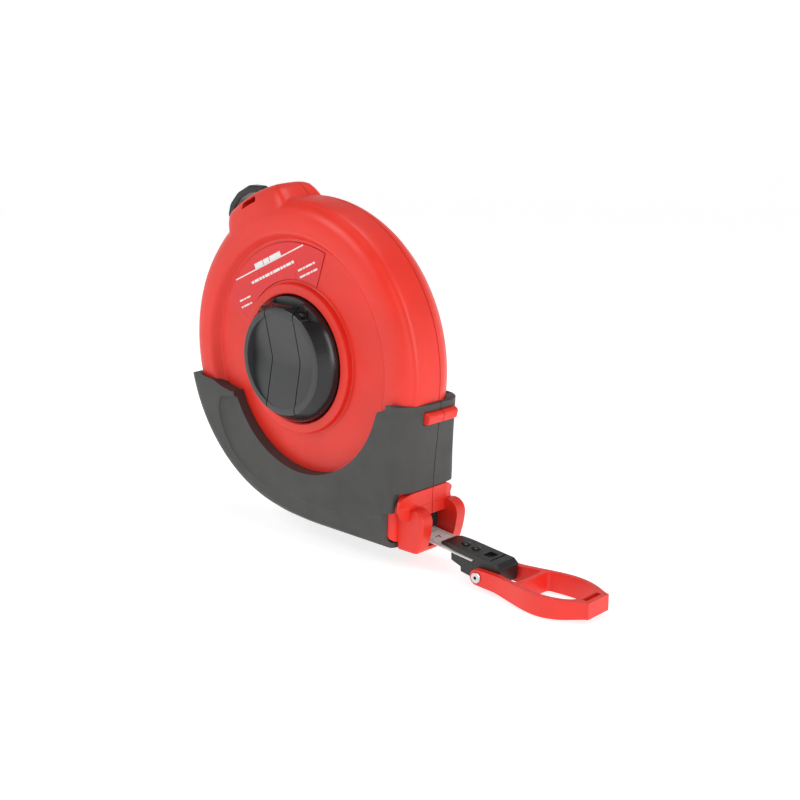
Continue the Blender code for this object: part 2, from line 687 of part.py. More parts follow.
PIN = [(0.7, 9.1), (2.0, 9.1), (2.2, 8.7), (1.5, 8.7), (1.5, -8.7), (2.2, -8.7), (2.0, -9.1), (0.7, -9.1)]
ring_pin = turned("ring_pin", PIN, 14, True, origin=(PIN_X, PIN_Y, 0))
finish(ring_pin, STEEL)


def ring_plan(half_widths):
    upper = list(half_widths)
    lower = [(x, -z) for x, z in reversed(half_widths)]
    return upper + lower


def end_ring_solid():
    """The finger ring, drawn flat in plan and then trimmed to its side view."""
    plan = ring_plan([(-4.0, 8.4), (9.0, 8.4), (16.0, 9.8), (22.0, 11.2), (27.0, 12.1), (32.0, 12.4),
                      (37.0, 11.8), (42.0, 10.2), (47.0, 7.6), (48.6, 6.7), (50.2, 6.3)])
    ring = plate("end_ring", plan, -6.0, 6.0, origin=(PIN_X, PIN_Y, 0))
    ring.rotation_euler[0] = math.radians(-90)
    side = arc(0, 0, 3.1, 90, 270, 12)
    side += [(8.0, -3.6), (16.0, -4.3), (24.0, -4.8), (32.0, -5.0), (40.0, -4.5), (46.0, -3.7), (50.3, -3.1)]
    side += [(50.3, 3.1)]
    profile = plate("ring_side", side, -14.0, 14.0, cutter=True, origin=(PIN_X, PIN_Y, 0))
    fork = ring_plan([(-8.0, 5.9), (8.0, 5.9), (13.0, 6.2), (15.4, 5.0), (15.8, 2.2)])
    hole = ring_plan([(22.4, 2.0), (22.0, 6.6), (24.4, 8.0), (28.0, 8.8), (32.0, 9.0), (36.4, 8.3),
                      (40.6, 6.6), (43.0, 4.4), (43.6, 1.6)])
    gap = plate("ring_fork", fork, -9.0, 9.0, cutter=True, origin=(PIN_X, PIN_Y, 0))
    eye = plate("ring_eye", hole, -9.0, 9.0, cutter=True, origin=(PIN_X, PIN_Y, 0))
    gap.rotation_euler[0] = math.radians(-90)
    eye.rotation_euler[0] = math.radians(-90)
    groove = box("ring_groove", (45.4, 2.0, -5.0), (47.4, 5.0, 5.0), cutter=True, origin=(PIN_X, PIN_Y, 0))
    bore = rod("ring_bore", 1.8, (0, 0, -12), (0, 0, 12), 20, cutter=True, origin=(PIN_X, PIN_Y, 0))
    boolean(ring, profile, "INTERSECT")
    cut(ring, gap, eye, groove, bore)
    return finish(ring, RED)


end_ring = end_ring_solid()
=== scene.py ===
"""Looks of the surveyor's tape reel: detailed pieces that stand for the frame's plain solids.

Pieces are drawn like the frame's, in the reel's side plane: local x runs towards the mouth,
local y up and local z out to the crank side, in millimetres from the spool's axis.  When a piece
is done its mesh is moved into the row frame, in metres.
"""
import math

import bmesh
import bpy
from mathutils import Matrix, Vector


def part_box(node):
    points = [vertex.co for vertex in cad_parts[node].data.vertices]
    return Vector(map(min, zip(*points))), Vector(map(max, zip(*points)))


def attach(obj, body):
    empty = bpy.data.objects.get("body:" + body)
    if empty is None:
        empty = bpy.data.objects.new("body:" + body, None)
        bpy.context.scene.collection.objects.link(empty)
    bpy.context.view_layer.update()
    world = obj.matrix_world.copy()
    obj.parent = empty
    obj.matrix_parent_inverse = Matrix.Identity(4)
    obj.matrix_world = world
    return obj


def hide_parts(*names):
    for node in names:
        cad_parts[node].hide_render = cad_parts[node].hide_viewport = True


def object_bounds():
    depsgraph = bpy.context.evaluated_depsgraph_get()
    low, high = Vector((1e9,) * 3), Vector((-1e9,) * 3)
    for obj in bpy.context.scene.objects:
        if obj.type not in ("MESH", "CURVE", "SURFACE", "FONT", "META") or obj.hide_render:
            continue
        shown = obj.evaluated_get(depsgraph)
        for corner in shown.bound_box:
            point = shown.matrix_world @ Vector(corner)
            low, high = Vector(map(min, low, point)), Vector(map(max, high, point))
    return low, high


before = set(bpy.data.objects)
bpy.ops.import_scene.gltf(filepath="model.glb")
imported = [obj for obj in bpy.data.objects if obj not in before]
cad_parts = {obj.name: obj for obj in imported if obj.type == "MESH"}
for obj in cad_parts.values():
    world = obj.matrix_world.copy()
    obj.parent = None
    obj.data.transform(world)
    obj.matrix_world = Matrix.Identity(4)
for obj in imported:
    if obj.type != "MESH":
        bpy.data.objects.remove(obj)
CAD_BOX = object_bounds()
MM = 0.001
STEPS = 180
SHARP = math.radians(32.0)

# Depths from the plane where the shells meet, towards the crank side
SPLIT = 0.15
DISH = 13.25
NEAR_FACE = 19.2
FAR_FACE = 14.0
DRUM_FACE = 24.0

# Along the tape: where its end fitting starts, and the ring's pin and the rivets from there
FITTING = Vector((70.0, -65.25, 0.0))
PIN_FROM_FITTING = Vector((21.9, -4.7, 0.0))
RIVETS = (9.0, 14.0)
DROOP = Matrix.Rotation(math.radians(-6.0), 4, "Z")
FLATWISE = Matrix.Rotation(math.radians(-90), 4, "X")

drum_low, drum_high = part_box("winding_drum")
drum_middle = (drum_low + drum_high) / 2
AXIS = Vector((drum_middle.x, drum_low.y + DRUM_FACE * MM, drum_middle.z))
UPRIGHT = Matrix.Translation(AXIS) @ Matrix.Rotation(math.radians(90), 4, "X")
TAPE_LINE = UPRIGHT @ Matrix.Translation(FITTING * MM) @ DROOP
PIN = DROOP @ PIN_FROM_FITTING + FITTING
RING_LINE = UPRIGHT @ Matrix.Translation(PIN * MM)


# ---------------------------------------------------------------- shapes

def new_object(name, mesh, place):
    obj = bpy.data.objects.new(name, mesh)
    bpy.context.scene.collection.objects.link(obj)
    obj.matrix_world = place
    return obj


def to_mesh(bm, name):
    for vert in bm.verts:
        vert.co *= MM
    bmesh.ops.recalc_face_normals(bm, faces=bm.faces)
    mesh = bpy.data.meshes.new(name)
    bm.to_mesh(mesh)
    bm.free()
    return mesh


def area(points):
    total = 0.0
    for index, (x0, y0) in enumerate(points):
        x1, y1 = points[(index + 1) % len(points)]
        total += x0 * y1 - x1 * y0
    return total


def rounded(points, radius, steps=5, closed=True):
    """The outline with every corner turned into a short curve."""
    result = []
    count = len(points)
    for index, point in enumerate(points):
        here = Vector(point)
        if not closed and index in (0, count - 1):
            result.append(tuple(here))
            continue
        before = Vector(points[index - 1]) - here
        after = Vector(points[(index + 1) % count]) - here
        reach_in = min(radius, before.length * 0.48)
        reach_out = min(radius, after.length * 0.48)
        start = here + before.normalized() * reach_in
        end = here + after.normalized() * reach_out
        for step in range(steps + 1):
            t = step / steps
            result.append(tuple(start * (1 - t) ** 2 + here * 2 * t * (1 - t) + end * t ** 2))
    return result


def spline(points, count):
    """A smooth curve through the points."""
    result = []
    last = len(points) - 1
    for span in range(last):
        p0, p1, p2, p3 = [Vector(points[min(max(span + k, 0), last)]) for k in (-1, 0, 1, 2)]
        for step in range(count):
            t = step / count
            value = p1 * 2 + (p2 - p0) * t + (p0 * 2 - p1 * 5 + p2 * 4 - p3) * t * t
            value += (p1 * 3 - p0 - p2 * 3 + p3) * t ** 3
            result.append(tuple(value / 2))
    result.append(tuple(points[-1]))
    return result


def inset(points, amount):
    """The outline moved inwards by a set distance."""
    side = 1.0 if area(points) > 0 else -1.0
    moved = []
    count = len(points)
    for index, point in enumerate(points):
        here = Vector(point)
        before = (here - Vector(points[index - 1])).normalized()
        after = (Vector(points[(index + 1) % count]) - here).normalized()
        normal = Vector((-before.y - after.y, before.x + after.x))
        if normal.length < 1e-6:
            normal = Vector((-after.y, after.x))
        normal.normalize()
        lean = max(0.5, normal.dot(Vector((-after.y, after.x))))
        moved.append(tuple(here + normal * (side * amount / lean)))
    return moved


def turned(name, profile, place=UPRIGHT, steps=STEPS, closed=True):
    """A turned solid about local z from (radius, z) points."""
    points = profile if area(profile) < 0 else profile[::-1]
    if not closed and points[0][1] < points[-1][1]:
        points = points[::-1]
    bm = bmesh.new()
    rings = []
    for radius, z in points:
        if radius < 1e-6:
            rings.append([bm.verts.new((0, 0, z))])
            continue
        row = []
        for k in range(steps):
            angle = math.tau * k / steps
            row.append(bm.verts.new((radius * math.cos(angle), radius * math.sin(angle), z)))
        rings.append(row)
    pairs = list(zip(rings, rings[1:]))
    if closed:
        pairs.append((rings[-1], rings[0]))
    for low, high in pairs:
        for k in range(steps):
            n = (k + 1) % steps
            corners = [low[k % len(low)], low[n % len(low)], high[n % len(high)],
                       high[k % len(high)]]
            unique = list(dict.fromkeys(corners))
            if len(unique) > 2:
                bm.faces.new(unique)
    return new_object(name, to_mesh(bm, name), place)


def loft(name, rings, place=UPRIGHT):
    bm = bmesh.new()
    rows = [[bm.verts.new(point) for point in ring] for ring in rings]
    count = len(rows[0])
    for low, high in zip(rows, rows[1:]):
        for i in range(count):
            j = (i + 1) % count
            bm.faces.new((low[i], low[j], high[j], high[i]))
    bm.faces.new(rows[0][::-1])
    bm.faces.new(rows[-1])
    return new_object(name, to_mesh(bm, name), place)


def quarter(radius, steps=5):
    """(height, pull) pairs of a rounded edge."""
    pairs = []
    for step in range(steps + 1):
        angle = math.pi / 2 * step / steps
        pairs.append((radius * math.sin(angle), radius * (1 - math.cos(angle))))
    return pairs


def slab(name, outline, z0, z1, low_round=0.0, high_round=0.0, place=UPRIGHT):
    """A flat outline given thickness, with rounded edges at either end."""
    rings = []
    if low_round:
        for height, pull in reversed(quarter(low_round)):
            rings.append((z0 + low_round - height, pull))
    else:
        rings.append((z0, 0.0))
    if high_round:
        for height, pull in quarter(high_round):
            rings.append((z1 - high_round + height, pull))
    else:
        rings.append((z1, 0.0))
    return loft(name, [[(x, y, z) for x, y in inset(outline, pull)] for z, pull in rings], place)


def block(name, low, high, radius=0.0, place=UPRIGHT):
    outline = [(low[0], low[1]), (high[0], low[1]), (high[0], high[1]), (low[0], high[1])]
    if radius:
        outline = rounded(outline, radius)
    return slab(name, outline, low[2], high[2], 0.0, 0.0, place)


def rod(name, radius, start, end, sides=48, place=UPRIGHT):
    first = Vector(start)
    run = Vector(end) - first
    turn = Vector((0, 0, 1)).rotation_difference(run.normalized()).to_matrix().to_4x4()
    outline = arc(0, 0, radius, 0, 360 - 360 / sides, sides - 1)
    here = place @ Matrix.Translation(first * MM) @ turn
    return slab(name, outline, 0.0, run.length, 0.0, 0.0, here)


def polar(radius, degrees):
    angle = math.radians(degrees)
    return radius * math.cos(angle), radius * math.sin(angle)


def arc(cx, cy, radius, start, end, count):
    points = []
    for index in range(count + 1):
        x, y = polar(radius, start + (end - start) * index / count)
        points.append((cx + x, cy + y))
    return points


def boolean(obj, other, operation):
    modifier = obj.modifiers.new("b", "BOOLEAN")
    modifier.operation = operation
    modifier.solver = "EXACT"
    modifier.object = other
    return obj


def cut(obj, *others):
    for other in others:
        boolean(obj, other, "DIFFERENCE")
    return obj


def join(obj, *others):
    for other in others:
        boolean(obj, other, "UNION")
    return obj


def bevel(obj, width):
    modifier = obj.modifiers.new("bevel", "BEVEL")
    modifier.width = width * MM
    modifier.segments = 3
    modifier.limit_method = "ANGLE"
    modifier.angle_limit = math.radians(35.0)
    return obj


HELPERS = []


def helper(obj):
    """A cutter or a lump that only shapes other pieces."""
    HELPERS.append(obj)
    obj.hide_render = True
    return obj


def done(obj, body, material, nodes=()):
    """Fix the piece's shape, move it into the row frame and give it its body and finish."""
    bpy.context.view_layer.update()
    graph = bpy.context.evaluated_depsgraph_get()
    result = obj.evaluated_get(graph)
    mesh = bpy.data.meshes.new_from_object(result, depsgraph=graph)
    mesh.transform(obj.matrix_world)
    bm = bmesh.new()
    bm.from_mesh(mesh)
    bmesh.ops.remove_doubles(bm, verts=bm.verts, dist=0.000002)
    bmesh.ops.dissolve_degenerate(bm, edges=bm.edges, dist=0.000001)
    bm.to_mesh(mesh)
    bm.free()
    name = obj.name
    obj.name = "raw_" + name
    piece = bpy.data.objects.new(name, mesh)
    bpy.context.scene.collection.objects.link(piece)
    HELPERS.append(obj)
    mesh.materials.clear()
    mesh.materials.append(material)
    mesh.shade_smooth()
    mesh.set_sharp_from_angle(angle=SHARP)
    normals = piece.modifiers.new("normals", "WEIGHTED_NORMAL")
    normals.keep_sharp = True
    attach(piece, body)
    if nodes:
        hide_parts(*nodes)
    return piece


# ---------------------------------------------------------------- materials

def new_material(name, colour, roughness, metallic=0.0):
    material = bpy.data.materials.new(name)
    material.use_nodes = True
    shader = material.node_tree.nodes["Principled BSDF"]
    shader.inputs["Base Color"].default_value = (*colour, 1.0)
    shader.inputs["Roughness"].default_value = roughness
    shader.inputs["Metallic"].default_value = metallic
    return material


def noise(nodes, links, coords, scale, detail=2.0, stretch=None):
    node = nodes.new("ShaderNodeTexNoise")
    node.inputs["Scale"].default_value = scale
    node.inputs["Detail"].default_value = detail
    if stretch:
        mapping = nodes.new("ShaderNodeMapping")
        mapping.inputs["Scale"].default_value = stretch
        links.new(coords.outputs["Object"], mapping.inputs["Vector"])
        links.new(mapping.outputs["Vector"], node.inputs["Vector"])
    else:
        links.new(coords.outputs["Object"], node.inputs["Vector"])
    return node


def ramp(nodes, links, source, stops):
    node = nodes.new("ShaderNodeValToRGB")
    node.color_ramp.elements[0].position = stops[0][0]
    node.color_ramp.elements[0].color = (*stops[0][1], 1.0)
    node.color_ramp.elements[1].position = stops[1][0]
    node.color_ramp.elements[1].color = (*stops[1][1], 1.0)
    links.new(source, node.inputs["Fac"])
    return node


def roughen(nodes, links, shader, source, strength):
    """Let a noise raise and lower the surface a little."""
    bump = nodes.new("ShaderNodeBump")
    bump.inputs["Strength"].default_value = strength
    bump.inputs["Distance"].default_value = 0.0001
    links.new(source.outputs["Fac"], bump.inputs["Height"])
    links.new(bump.outputs["Normal"], shader.inputs["Normal"])


def moulded(name, colour, roughness, grain=1600.0, depth=0.25, spread=0.06):
    """Moulded plastic: fine spark-eroded grain, slight clouding of colour and uneven gloss."""
    material = new_material(name, colour, roughness)
    nodes = material.node_tree.nodes
    links = material.node_tree.links
    shader = nodes["Principled BSDF"]
    coords = nodes.new("ShaderNodeTexCoord")
    cloud = noise(nodes, links, coords, 45.0, 4.0)
    low = tuple(max(0.0, c * (1 - spread)) for c in colour)
    high = tuple(min(1.0, c * (1 + spread)) for c in colour)
    tint = ramp(nodes, links, cloud.outputs["Fac"], ((0.35, low), (0.65, high)))
    links.new(tint.outputs["Color"], shader.inputs["Base Color"])
    smear = noise(nodes, links, coords, 160.0, 5.0)
    rough_low = (roughness - 0.05,) * 3
    rough_high = (roughness + 0.06,) * 3
    gloss = ramp(nodes, links, smear.outputs["Fac"], ((0.3, rough_low), (0.7, rough_high)))
    links.new(gloss.outputs["Color"], shader.inputs["Roughness"])
    fine = noise(nodes, links, coords, grain, 3.0)
    roughen(nodes, links, shader, fine, depth)
    return material


def brushed(name, colour, roughness, stretch):
    """Metal with fine lines along the direction that is stretched least."""
    material = new_material(name, colour, roughness, 1.0)
    nodes = material.node_tree.nodes
    links = material.node_tree.links
    shader = nodes["Principled BSDF"]
    coords = nodes.new("ShaderNodeTexCoord")
    lines = noise(nodes, links, coords, 900.0, 3.0, stretch)
    rough_low = (roughness - 0.08,) * 3
    rough_high = (roughness + 0.1,) * 3
    gloss = ramp(nodes, links, lines.outputs["Fac"], ((0.3, rough_low), (0.7, rough_high)))
    links.new(gloss.outputs["Color"], shader.inputs["Roughness"])
    roughen(nodes, links, shader, lines, 0.15)
    return material


RED = moulded("case_red", (0.80, 0.028, 0.014), 0.40, 1500.0, 0.30, 0.05)
RING_RED = moulded("ring_red", (0.82, 0.026, 0.014), 0.34, 900.0, 0.10, 0.04)
GUARD = moulded("guard_grey", (0.050, 0.050, 0.048), 0.56, 1900.0, 0.35, 0.10)
KNOB = moulded("knob_black", (0.042, 0.043, 0.045), 0.42, 1700.0, 0.22, 0.08)
BLACK = moulded("fitting_black", (0.012, 0.013, 0.013), 0.36, 1200.0, 0.15, 0.10)
CORE = moulded("core_grey", (0.2, 0.2, 0.2), 0.6)
LABEL = moulded("label_red", (0.74, 0.020, 0.022), 0.30, 500.0, 0.04, 0.02)
PRINT = moulded("print_white", (0.85, 0.85, 0.84), 0.45, 900.0, 0.05, 0.02)
INK = moulded("print_black", (0.012, 0.012, 0.014), 0.5, 900.0, 0.05, 0.05)
TAPE = moulded("tape_white", (0.78, 0.78, 0.76), 0.33, 700.0, 0.06, 0.03)
# Near-black felt for the mouth's wipers: partly the wipers' own dark felt, partly painted shade
# that fills the mouth where it is dark with shade.
FELT_MOUTH_SHADE = moulded("wiper_felt", (0.012, 0.012, 0.012), 0.9, 2500.0, 0.8, 0.2)
# Dark red for a thin line round the label's edge: painted shadow.
SHADOW = moulded("label_shadow", (0.12, 0.004, 0.004), 0.6, 900.0, 0.05, 0.05)
DARK_STEEL = brushed("dark_steel", (0.06, 0.06, 0.06), 0.35, (6.0, 1.0, 1.0))
# A glossier, darker copy of the knob's black for the drum's flank: the lower roughness is gloss,
# the darker colour is painted shade.
KNOB_SIDE_SHADE = moulded("knob_side_painted_shade", (0.010, 0.010, 0.011), 0.24, 900.0, 0.05, 0.1)
STEEL = brushed("steel", (0.62, 0.62, 0.62), 0.26, (1.0, 6.0, 1.0))


# ---------------------------------------------------------------- case

INSIDE = [(62.8, -1.0), (62.6, 8.0), (61.6, 11.5), (59.6, 14.0), (56.0, 15.0), (52.5, 15.0),
          (49.4, 11.25)]
SCREWS = ((54.0, 16.4), (15.0, 54.6), (-31.8, 46.9), (-55.5, -11.1), (-39.6, -40.5))


def wall_profile():
    """The dish's edge, the face and the crowned rim."""
    profile = [(48.0, DISH), (48.5, DISH + 0.05), (49.0, 13.6), (50.4, 15.75), (50.9, 16.35),
               (51.5, 16.8)]
    profile += [(52.4, 17.0), (55.4, 17.0), (57.0, 16.9), (58.6, 16.6), (60.0, 16.1), (61.1, 15.4)]
    profile += [(62.0, 14.55), (62.6, 13.75), (62.95, 13.15), (63.3, 12.75), (63.75, 12.4),
                (64.1, 11.9)]
    return profile + [(64.4, 10.9), (64.65, 9.2), (64.85, 7.0), (65.0, 4.0), (65.1, 0.6),
                      (65.1, -1.0)]


def near_profile():
    hub = [(10.3, 8.0), (10.3, 10.0), (26.35, 10.0), (26.6, 10.3), (26.6, 15.5), (26.75, 15.95),
           (27.2, 16.24)]
    hub += [(29.9, 16.24), (30.45, 16.1), (30.8, 15.7), (30.95, 14.0), (31.1, 13.5), (31.5, DISH)]
    return hub + wall_profile() + INSIDE + [(29.0, 11.25), (29.0, 8.0)]


def far_profile():
    hub = [(0.0, 11.0), (26.0, 11.0), (26.4, 11.3), (26.6, 12.4), (26.8, 12.8), (27.2, 13.0)]
    hub += [(30.1, 13.0), (30.6, 12.85), (30.8, 12.5), (31.0, 11.4), (31.4, 11.0)]
    wall = [(47.8, 11.0), (48.6, 11.2), (49.8, 11.95), (50.8, 12.3), (52.4, 12.4), (54.6, 12.25),
            (56.5, 11.8)]
    wall += [(58.2, 11.0), (59.6, 10.0), (60.8, 8.95), (61.7, 8.0), (62.6, 6.8), (63.4, 5.5),
             (64.1, 4.2)]
    wall += [(64.6, 3.0), (64.95, 1.8), (65.1, 0.6), (65.1, -1.0)]
    inner = [(62.8, -1.0), (62.4, 2.4), (61.2, 4.8), (59.6, 6.9), (57.6, 8.6), (54.8, 9.7),
             (52.0, 9.9), (49.2, 9.0)]
    socket = [(9.0, 9.0), (9.0, 7.4), (6.3, 7.4), (6.3, 9.2), (0.0, 9.2)]
    return hub + wall + inner + socket


def side_rings(outline, side, levels):
    return [[(x, y, side * depth) for x, y in inset(outline, pull)] for depth, pull in levels]


FAR_SHARE = 0.62


def hump(side, tag):
    """The raised shoulder that carries the strap slot, blended into the crowned rim."""
    crown = [(55.6, 16.4), (57.4, 16.55), (59.2, 16.3), (61.4, 15.75), (63.8, 15.0), (66.4, 13.95),
             (68.4, 12.85)]
    crown += [(69.8, 11.5), (70.6, 9.9), (71.0, 7.8), (71.2, 4.6), (71.3, 1.2), (71.3, -1.4)]
    flush = [(55.4, 16.2), (56.6, 16.3), (57.8, 16.1), (58.8, 15.8), (59.8, 15.2), (60.8, 14.4),
             (61.6, 13.6)]
    flush += [(62.3, 12.4), (62.9, 11.0), (63.4, 9.0), (63.7, 6.0), (63.9, 2.0), (63.9, -1.4)]
    base = [(58.0, -1.4), (57.0, 6.0), (55.4, 14.0)]
    blends = ((94.6, 0.0), (95.6, 0.18), (97.0, 0.42), (98.6, 0.68), (100.2, 0.88), (102.0, 0.98),
              (104.0, 1.0))
    blends += tuple((float(angle), 1.0) for angle in range(107, 126, 3))
    blends += ((126.4, 0.99), (127.6, 0.93), (128.5, 0.78), (129.2, 0.5), (129.7, 0.0))
    rings = []
    for angle, share in blends:
        ring = []
        for (r0, z0), (r1, z1) in zip(flush + base, crown + base):
            x, y = polar(r0 + (r1 - r0) * share, angle)
            depth = z0 + (z1 - z0) * share
            if side < 0 and depth > 0:
                depth *= FAR_SHARE
            ring.append((x, y, side * depth))
        rings.append(ring)
    return helper(loft("hump_" + tag, rings))


def front_pull(depth, y):
    """How far the front face has fallen back at a depth, along the slanting corner facet."""
    edge = 13.0 - 7.0 * (y + 44.3) / 34.7
    return max(0.0, depth - edge) * 0.36


def pulled_back(points, depth, amount, front_x):
    """Points drawn in, with those on the front face also following the corner facet."""
    moved = []
    for (x, y), (new_x, new_y) in zip(points, drawn_in(points, amount)):
        fall = front_pull(depth, y) if x > front_x else 0.0
        moved.append((min(new_x, x - fall), new_y))
    return moved


def nose(side, tag):
    """The block behind the front panel, the lip above the mouth and the cheek with its foot."""
    front = [(59.9, -43.9), (60.0, -36.0), (60.1, -27.0), (60.2, -18.0), (60.2, -12.2)]
    heel = [(34.0, -52.0), (23.0, -60.0)] if side > 0 else [(29.0, -50.5), (20.0, -57.3)]
    collar = [(58.0, -16.0), (52.0, -34.0)] if side > 0 else [(55.0, -15.0), (48.2, -31.4)]
    core = heel + [(27.0, -66.2), (55.4, -66.4), (56.0, -54.0), (58.3, -52.7),
                   (59.7, -45.3)] + front + collar
    levels = ((-1.0, 0.0), (11.0, 0.3), (14.6, 1.4), (16.2, 3.0), (16.9, 5.0))
    if side < 0:
        levels = ((-1.0, 0.0), (7.4, 0.3), (9.3, 1.4), (10.5, 3.0), (11.1, 5.0))
    rings = []
    for depth, pull in levels:
        rings.append([(x, y, side * depth) for x, y in pulled_back(core, depth, pull, 59.8)])
    core_lump = helper(loft("core_" + tag, rings))
    lip = rounded([(58.9, -44.6), (61.9, -44.6), (61.5, -50.4), (61.2, -56.2), (57.6, -53.1)], 0.35,
                  3)
    levels = [(-1.1, 0.0), (11.2, 0.0), (13.0, 0.2), (15.0, 0.8), (16.4, 1.3), (17.4, 1.9),
              (18.1, 2.5)]
    if side < 0:
        levels = [(-1.1, 0.0), (8.0, 0.0), (9.2, 0.3), (10.2, 0.8), (11.0, 1.3), (11.7, 1.9),
                  (12.4, 2.6)]
    rings = [[(x, y, side * depth) for x, y in centred(lip, pull)] for depth, pull in levels]
    lip_lump = helper(loft("lip_" + tag, rings))
    cheek = [(54.3, -69.0), (63.6, -69.0), (64.9, -68.6), (66.0, -66.4), (67.4, -61.6),
             (68.3, -56.4), (67.9, -53.9)]
    cheek += [(66.2, -51.9), (63.8, -50.9), (60.8, -51.2), (57.4, -53.2), (54.3, -54.3)]
    cheek = rounded(cheek, 1.4, 4)
    levels = [(-1.2, 0.0)] + [(11.9 + h, p) for h, p in quarter(1.2)]
    return core_lump, lip_lump, helper(loft("cheek_" + tag, side_rings(cheek, side, levels)))


def drawn_in(points, amount):
    """Points moved towards the spool's axis."""
    moved = []
    for x, y in points:
        scale = 1.0 - amount / math.hypot(x, y)
        moved.append((x * scale, y * scale))
    return moved


def centred(points, amount):
    """Points moved towards their own centre."""
    cx = sum(x for x, _ in points) / len(points)
    cy = sum(y for _, y in points) / len(points)
    moved = []
    for x, y in points:
        span = max(amount * 1.02, math.hypot(x - cx, y - cy))
        moved.append((cx + (x - cx) * (1 - amount / span), cy + (y - cy) * (1 - amount / span)))
    return moved


def lug(name, side, grow=0.0):
    """The strap lug on the front, or the window for it when it is grown."""
    outline = [(57.5, -17.2 - grow), (57.5, -12.4 + grow), (66.0, -12.4 + grow)]
    outline += [(67.6 + grow, -13.6 + grow), (66.6 + grow, -17.2 - grow)]
    if not grow:
        outline = rounded(outline, 0.9, 4)
    levels = [(-1.3, 0.0)] + [(7.95 + grow + h, p) for h, p in quarter(0.35)]
    return helper(loft(name, side_rings(outline, side, levels)))


def on_rim(reach, angle):
    """A place at a distance from the axis, turned to face along that direction."""
    where = Vector((*polar(reach, angle), 0.0))
    return UPRIGHT @ Matrix.Translation(where * MM) @ Matrix.Rotation(math.radians(angle), 4, "Z")


def case_cutters():
    """The mouth, the tape's way to it, the strap slot and the pockets for the hang loop's feet."""
    slot = rounded([(-2.1, -4.6), (2.1, -4.6), (2.1, 4.6), (-2.1, 4.6)], 1.5)
    foot = ((-3.0, -2.4, -2.8), (3.0, 2.4, 2.8))
    cutters = [block("mouth_pocket", (55.6, -66.6, -7.3), (72.0, -55.5, 7.3))]
    cutters += [block("mouth_brow", (61.65, -56.4, -7.2), (72.0, -46.0, 7.2))]
    cutters += [block("tape_channel", (-56.0, -1.5, -7.2), (-10.0, 1.5, 7.2), place=TAPE_LINE)]
    cutters += [slab("hump_slot", slot, -14.0, 14.0, place=on_rim(66.7, 115.0))]
    cutters += [block("pocket_left", *foot, place=on_rim(65.2, 135.3))]
    cutters += [block("pocket_right", *foot, place=on_rim(71.4, 117.2))]
    return [helper(cutter) for cutter in cutters]


CASE_CUTTERS = case_cutters()


def case_half(side, tag, profile, closed):
    """One shell; the far one also has the screw posts, with their bores and seats."""
    shell = turned("case_shell_" + tag, [(r, side * z) for r, z in profile], closed=closed)
    join(shell, lug("lug_" + tag, side), hump(side, tag), *nose(side, tag))
    screws = SCREWS if side < 0 else ()
    for x, y in screws:
        join(shell, helper(rod("post", 2.9, (x, y, 1.5), (x, y, -9.6), 20)))
    low, high = sorted((side * -20.0, side * SPLIT))
    beyond = helper(block("beyond_" + tag, (-90, -90, low), (90, 90, high)))
    cut(shell, beyond, *CASE_CUTTERS)
    for x, y in screws:
        cut(shell, helper(rod("bore", 1.6, (x, y, -19.0), (x, y, 12.0), 20)))
        cut(shell, helper(rod("seat", 3.1, (x, y, -19.0), (x, y, -8.9), 32)))
    return done(shell, "case", RED, ["case_" + tag])


case_half(1, "near", near_profile(), True)
case_half(-1, "far", far_profile(), False)


# ---------------------------------------------------------------- overmould

FRONT = [(61.9, -44.3), (62.5, -36.0), (63.5, -27.0), (64.7, -18.0), (65.8, -9.6)]
EYE = (6.2, -1.7, 44.6)


def guard_parts():
    """The overmould's side view: belly, step over the mouth, front, and the edge round the dish."""
    outer = arc(0, 0, 67.2, 193.6, 261.0, 44)
    outer += spline([(-8.5, -66.8), (-4.0, -67.5), (4.0, -68.2), (12.0, -68.6)],
                    4)[1:] + [(54.0, -68.6)]
    step = [(54.0, -53.5), (57.2, -52.6), (58.6, -44.3)]
    front = spline(FRONT, 6)
    top = [(65.0, -9.15), (63.2, -9.0), (54.6, -11.1), (50.4, -12.5), (49.8, -12.8)]
    eye = arc(EYE[0], EYE[1], EYE[2], -16.5, -157.6, 70)
    tail = spline([(-36.2, -19.2), (-39.4, -18.5), (-43.4, -17.6), (-47.5, -15.9)], 4)
    return outer, step, front, top + eye + tail


def guard_half(side, tag):
    outer, step, front, rest = guard_parts()
    levels = ((SPLIT, 0.0), (6.0, 0.0), (10.6, 0.0), (12.0, 0.1), (13.0, 0.2), (14.0, 0.35),
              (15.0, 0.6))
    levels += ((16.0, 1.0), (17.0, 1.6), (17.7, 2.2), (18.3, 2.9), (18.7, 3.7), (19.0, 4.6),
               (19.15, 5.3), (NEAR_FACE, 6.0))
    if side < 0:
        levels = ((SPLIT, 0.0), (6.0, 0.0), (8.6, 0.1), (9.6, 0.25), (10.6, 0.5), (11.5, 0.9),
                  (12.2, 1.4))
        levels += ((12.8, 2.05), (13.3, 2.8), (13.6, 3.5), (13.8, 4.4), (13.95, 5.2),
                   (FAR_FACE, 6.0))
    rings = []
    for depth, pull in levels:
        ring = drawn_in(outer, pull)
        ring += [(x - 0.4 * pull, y) for x, y in step]
        ring += [(x - front_pull(depth, y) - 0.7 * pull, y) for x, y in front]
        ring += [(x - front_pull(depth, y) - 0.7 * pull if x > 58 else x, y) for x, y in rest]
        rings.append([(x, y, side * depth) for x, y in ring])
    return loft("overmould_shell_" + tag, rings)


